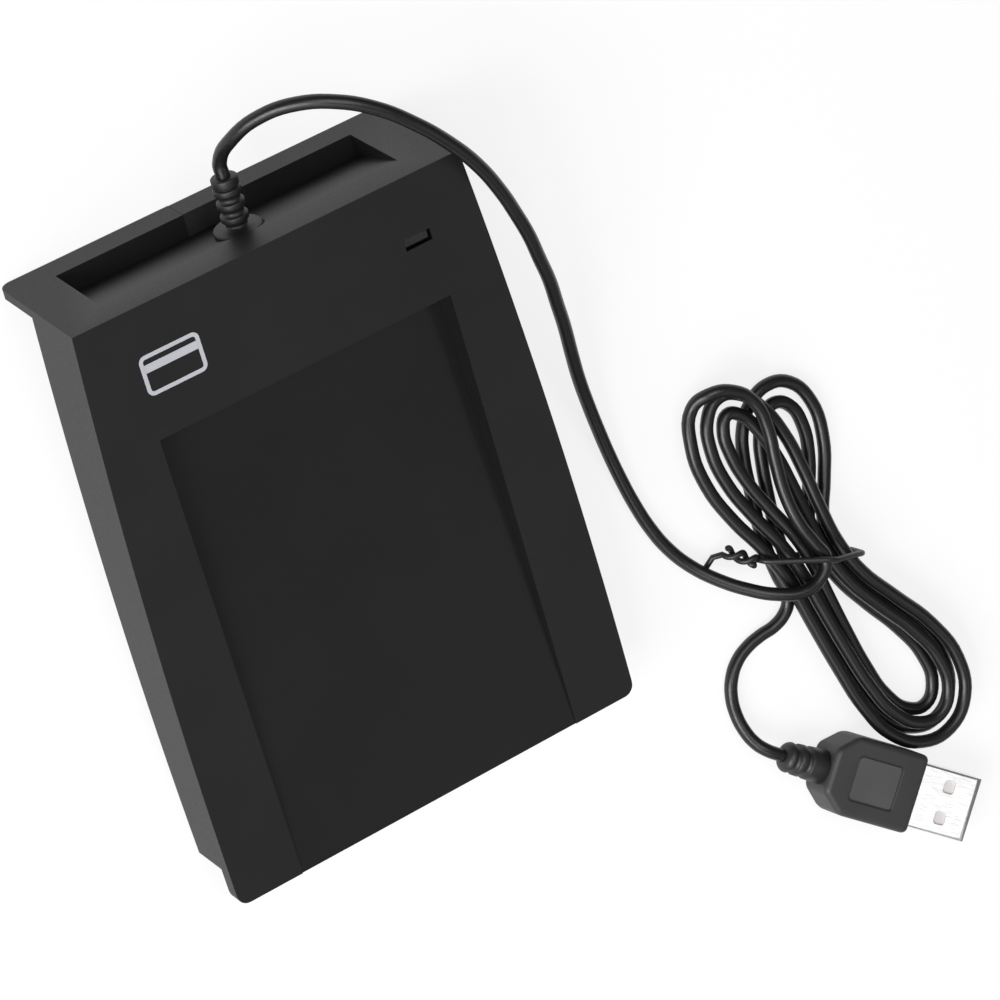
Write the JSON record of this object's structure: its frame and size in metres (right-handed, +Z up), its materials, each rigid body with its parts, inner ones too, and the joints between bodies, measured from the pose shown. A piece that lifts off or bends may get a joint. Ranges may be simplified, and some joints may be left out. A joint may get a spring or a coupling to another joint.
{
  "type": "usb rfid card reader",
  "caption": "Desktop contactless card reader: sloped plastic housing with a card tray, status window, rear cable gland and a tied-up cord that ends in a flat rectangular plug.",
  "frame": {"origin": "on the desk, under the middle of the housing's box; the free cord and its plug are left out of that box", "axes": "+X to the right when facing the card tray from its open end, +Y to the rear where the cord leaves, +Z up"},
  "size_m": [0.1451, 0.1837, 0.0354],
  "materials": {
    "cover_plastic": "fine matte spark texture, near black",
    "base_plastic": "matte, near black",
    "smoked_window": "smoked translucent light pipe",
    "foot_rubber": "matte rubber",
    "zinc_steel": "zinc plated",
    "board_laminate": "solder mask over glass laminate",
    "enamelled_copper": "enamelled copper winding",
    "chip_plastic": "moulded black resin",
    "tinned_leads": "tinned",
    "passive_ceramic": "tan ceramic",
    "crystal_can": "drawn metal can",
    "capacitor_sleeve": "shrink sleeve",
    "buzzer_plastic": "moulded",
    "lamp_resin": "clear resin",
    "connector_nylon": "natural nylon",
    "wire_jacket": "smooth insulation, one colour a wire",
    "gland_rubber": "flexible moulding",
    "cord_jacket": "semi-gloss soft jacket",
    "tie_wire": "plastic coated wire",
    "plug_plastic": "satin soft moulding",
    "shell_steel": "nickel plated sheet",
    "tongue_plastic": "white moulding",
    "contact_metal": "gold plated"
  },
  "bodies": {
    "root": {"top_cover": "cover_plastic", "base_cover": "base_plastic", "light_pipe": "smoked_window", "rubber_feet": "foot_rubber", "housing_screws": "zinc_steel", "circuit_board": "board_laminate", "board_screws": "zinc_steel", "antenna_coil": "enamelled_copper", "controller_chip": "chip_plastic", "radio_chip": "chip_plastic", "chip_leads": "tinned_leads", "small_passives": "passive_ceramic", "crystal": "crystal_can", "supply_capacitor": "capacitor_sleeve", "buzzer": "buzzer_plastic", "status_lamps": "lamp_resin", "wire_socket": "connector_nylon", "wire_plug": "connector_nylon", "inner_wires": "wire_jacket", "cable_gland": "gland_rubber", "cord_lead": "cord_jacket", "cord_hank": "cord_jacket", "cord_tail": "cord_jacket", "hank_tie": "tie_wire", "plug_relief": "plug_plastic", "plug_grip": "plug_plastic", "plug_shell": "shell_steel", "plug_tongue": "tongue_plastic", "plug_contacts": "contact_metal"}
  },
  "joints": []
}
